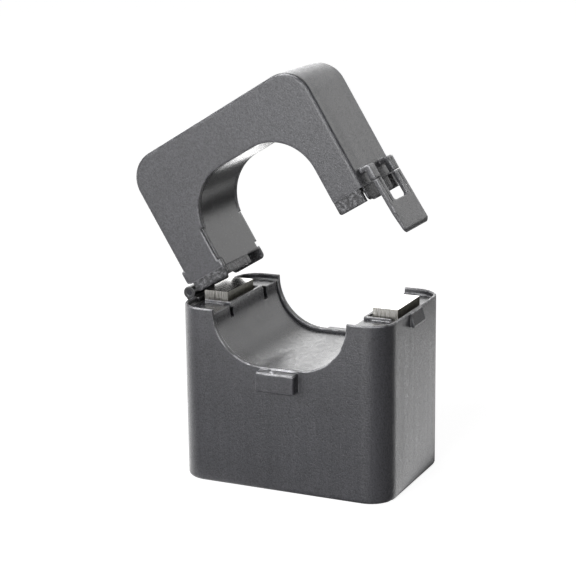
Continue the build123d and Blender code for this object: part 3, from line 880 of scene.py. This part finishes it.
# %% [markdown]
# ## Small parts
# The hinge and its pin are coloured near black, much darker than the housing.  The leaf springs are
# rolled steel with fine lines along their length, the two pins are tinned, the bobbin is natural
# nylon, and the bush in the rear wall is matt rubber.
# %% Small moulded parts
hinge_plastic = grained_plastic(
    "hinge_black",
    dark=(0.003, 0.003, 0.004),
    light=(0.009, 0.009, 0.010),
    roughness=0.34,
    grain_size=0.0005,
    grain_depth=0.00002,
    wear_and_highlight=0.15,
)[0]
wear(hinge_plastic, parts["hinge_block"])

rubber = grained_plastic(
    "bush_rubber",
    dark=(0.012, 0.012, 0.012),
    light=(0.024, 0.024, 0.024),
    roughness=0.66,
    grain_size=0.0004,
    grain_depth=0.00003,
    wear_and_highlight=0.1,
)[0]
wear(rubber, parts["lead_bush"])

nylon = grained_plastic(
    "bobbin_nylon",
    dark=(0.56, 0.52, 0.42),
    light=(0.68, 0.64, 0.54),
    roughness=0.5,
    grain_size=0.0006,
    grain_depth=0.00001,
    clouds=0.06,
    wear_and_highlight=0.0,
)[0]
wear(nylon, parts["bobbin"])

# %% Small metal parts
LINES_DULLER = 0.08
LINES_GLOSSIER = 0.05


def drawn_metal(name, dark, light, roughness, stretch):
    """Metal with fine lines, long in the direction that is stretched least."""
    material, tree, shader = new_material(name, light, roughness, metallic=1.0)
    lines = noise(tree, object_coordinates(tree, stretch), 1.0, detail=3.0)
    tree.links.new(two_shades(tree, lines, dark, light), shader.inputs["Base Color"])
    rough = two_values(tree, lines, roughness + LINES_DULLER, roughness - LINES_GLOSSIER)
    tree.links.new(rough, shader.inputs["Roughness"])
    return material


black_steel = drawn_metal(
    "hinge_pin_near_black",
    dark=(0.015, 0.015, 0.017),
    light=(0.05, 0.05, 0.055),
    roughness=0.4,
    stretch=(4000.0, 300.0, 4000.0),
)
wear(black_steel, parts["hinge_pin"])

spring_steel = drawn_metal(
    "spring_steel",
    dark=(0.38, 0.38, 0.39),
    light=(0.6, 0.6, 0.61),
    roughness=0.3,
    stretch=(5000.0, 400.0, 5000.0),
)
wear(spring_steel, parts["core_springs"], parts["jaw_spring"])

tin = drawn_metal(
    "tinned_pin",
    dark=(0.62, 0.61, 0.59),
    light=(0.8, 0.79, 0.77),
    roughness=0.27,
    stretch=(2500.0, 2500.0, 500.0),
)
wear(tin, parts["bobbin_pins"])

# %% [markdown]
# ## Floor and room
# The object was photographed on white.  The floor and the world show plain white to the camera.  To
# the object they are a room whose strength differs with the direction, as it does when large soft
# boxes stand round a small white table.  So one helper adds up lobes: each is a direction, the
# likeness at which its glow starts and is full, and its strength.
# %% Glow of the room
def room_glow(tree, vector, everywhere, lobes):
    """Strength that is the same everywhere, plus lobes that grow as the vector nears them."""
    unit = tree.nodes.new("ShaderNodeVectorMath")
    unit.operation = "NORMALIZE"
    tree.links.new(vector, unit.inputs[0])
    total = everywhere
    for towards, starts, full, strength in lobes:
        likeness = tree.nodes.new("ShaderNodeVectorMath")
        likeness.operation = "DOT_PRODUCT"
        likeness.inputs[1].default_value = Vector(towards).normalized()
        tree.links.new(unit.outputs[0], likeness.inputs[0])
        lobe = rescale(tree, likeness.outputs["Value"], starts, full, 0.0, strength)
        total = add(tree, total, lobe)
    return total


# %% [markdown]
# The floor is one large square.  It lies a tenth of a millimetre below the object, so that the two
# don't fight for the same place.
# %% Floor
FLOOR_SIZE = 6.0
FLOOR_DROP = 0.0001

floor_mesh = bpy.data.meshes.new("floor")
corner = FLOOR_SIZE / 2
floor_mesh.from_pydata(
    [(-corner, -corner, 0), (corner, -corner, 0), (corner, corner, 0), (-corner, corner, 0)],
    [],
    [(0, 1, 2, 3)],
)
floor = bpy.data.objects.new("floor", floor_mesh)
bpy.context.scene.collection.objects.link(floor)
floor.location.z = -FLOOR_DROP

# %% [markdown]
# On the floor the object's shadow stays, because the camera sees the floor's plain diffuse colour
# added to a glow.  Mirror-like rays see another glow, whose lobes are counted from the foot of the
# base's front right corner.  So the right side mirrors a bright strip of near floor, and the
# rounded corner beside it mirrors the dark next to that strip.  The strip ends a hand's length
# away, because the arch inside the open jaw mirrors what lies beyond, and it is nearly black.  In
# front it is the other way round: the jaw mirrors a far bright sheet and the base the darker floor
# near it.  Two more lobes light the base's rounded left corner and the arch's upper stripe.
# %% Glow of the floor
FLOOR_GLOW = 0.88
FLOOR_GREY = 0.5
FLOOR_ROUGHNESS = 0.9
FLOOR_EVERYWHERE = 0.03
FLOOR_FROM = (0.0285, -0.015, 0.0)
NEAR_STRIP = ((0.25, 0.968, 0.0), 0.980, 0.9925, 2.7)
FAR_SHEET = ((-0.42, -0.90, 0.0), 0.5, 0.95, 1.6)
NEAR_FADES = 0.17
FAR_STARTS = 0.205
FLOOR_LOBES = [
    ((-0.93, 0.37, 0.0), 0.84, 0.93, 2.0),
    ((-0.60, 0.80, 0.0), 0.982, 0.995, 4.0),
]

floor_material, floor_tree, floor_shader = new_material(
    "floor_white", (FLOOR_GREY,) * 3, FLOOR_ROUGHNESS
)
floor_shader.inputs["Specular IOR Level"].default_value = 0.0
from_corner = object_coordinates(floor_tree, move=tuple(-place for place in FLOOR_FROM))
away = floor_tree.nodes.new("ShaderNodeVectorMath")
away.operation = "LENGTH"
floor_tree.links.new(from_corner, away.inputs[0])
near = rescale(floor_tree, away.outputs["Value"], NEAR_FADES, FAR_STARTS, 1.0, 0.0)
far = calculate(floor_tree, "SUBTRACT", 1.0, near)
mirrored = room_glow(floor_tree, from_corner, FLOOR_EVERYWHERE, FLOOR_LOBES)
for lobe, reach in ((NEAR_STRIP, near), (FAR_SHEET, far)):
    held = multiply(floor_tree, room_glow(floor_tree, from_corner, 0.0, [lobe]), reach)
    mirrored = add(floor_tree, mirrored, held)

floor_rays = floor_tree.nodes.new("ShaderNodeLightPath")
to_camera = multiply(floor_tree, floor_rays.outputs["Is Camera Ray"], FLOOR_GLOW)
to_mirrors = multiply(floor_tree, floor_rays.outputs["Is Glossy Ray"], mirrored)
glow = floor_tree.nodes.new("ShaderNodeEmission")
floor_tree.links.new(add(floor_tree, to_camera, to_mirrors), glow.inputs["Strength"])
both = floor_tree.nodes.new("ShaderNodeAddShader")
floor_tree.links.new(floor_shader.outputs[0], both.inputs[0])
floor_tree.links.new(glow.outputs[0], both.inputs[1])
floor_tree.links.new(both.outputs[0], floor_tree.nodes["Material Output"].inputs["Surface"])
floor_mesh.materials.append(floor_material)

# %% [markdown]
# The world is white to the camera.  To the object it is a dim room, a little brighter behind.
# Mirror-like rays see four soft boxes besides.  The first stands behind on the left and lights the
# window's floor and the core's ends, the second behind on the right and lights the jaw's inner
# wall.  The third hangs overhead and picks out the pale upper edges, which are worn and carry a
# painted highlight.  The fourth is small, in front on the right, and draws a line along the jaw's
# front edge.
# %% World
ROOM_EVERYWHERE = 0.15
ROOM_LOBES = [((-0.2, 0.98, 0.0), -0.7, 0.6, 0.15)]
MIRROR_LOBES = [
    ((-0.45, 0.88, 0.12), 0.78, 0.97, 2.6),
    ((0.42, 0.86, 0.30), 0.88, 0.97, 1.5),
    ((-0.41, -0.24, 0.87), 0.9, 0.98, 26.0),
    ((0.50, -0.76, 0.40), 0.94, 0.985, 5.0),
]

world = bpy.data.worlds.new("white_room")
bpy.context.scene.world = world
world.use_nodes = True
world_tree = world.node_tree
sky = world_tree.nodes["Background"]
sky.inputs["Color"].default_value = (1.0, 1.0, 1.0, 1.0)
sky_rays = world_tree.nodes.new("ShaderNodeLightPath")
towards = world_tree.nodes.new("ShaderNodeTexCoord").outputs["Generated"]
mirror_glow = room_glow(world_tree, towards, 0.0, MIRROR_LOBES)
mirror_glow = multiply(world_tree, sky_rays.outputs["Is Glossy Ray"], mirror_glow)
room = room_glow(world_tree, towards, ROOM_EVERYWHERE, ROOM_LOBES)
# A Mix node's two numbers are its sockets 2 and 3
seen = world_tree.nodes.new("ShaderNodeMix")
world_tree.links.new(sky_rays.outputs["Is Camera Ray"], seen.inputs[0])
world_tree.links.new(add(world_tree, room, mirror_glow), seen.inputs[2])
seen.inputs[3].default_value = 1.0
world_tree.links.new(seen.outputs[0], sky.inputs["Strength"])

# %% [markdown]
# ## Lamps
# Two large soft lamps stand well outside the picture.  The key lamp, high on the left, gives the
# faces their difference in shade, and the front one fills the housing's front evenly.
# %% Lamps
LAMPS = [
    ("key", (-0.40, -0.60, 0.30), 0.45, 1.8),
    ("front", (-0.05, -0.80, 0.15), 0.35, 4.9),
]
AIM = (0.0, 0.0, 0.05)


def lamp(name, place, size, power):
    """Square area lamp of the given size in metres, turned towards the object."""
    data = bpy.data.lights.new(name, "AREA")
    data.shape = "SQUARE"
    data.size = size
    data.energy = power
    obj = bpy.data.objects.new(name, data)
    bpy.context.scene.collection.objects.link(obj)
    obj.location = place
    obj.rotation_euler = (Vector(AIM) - Vector(place)).to_track_quat("-Z", "Y").to_euler()


for name, place, size, power in LAMPS:
    lamp(name, place, size, power)
bpy.context.scene.view_settings.view_transform = "Standard"
print("lamps:", ", ".join(row[0] for row in LAMPS))
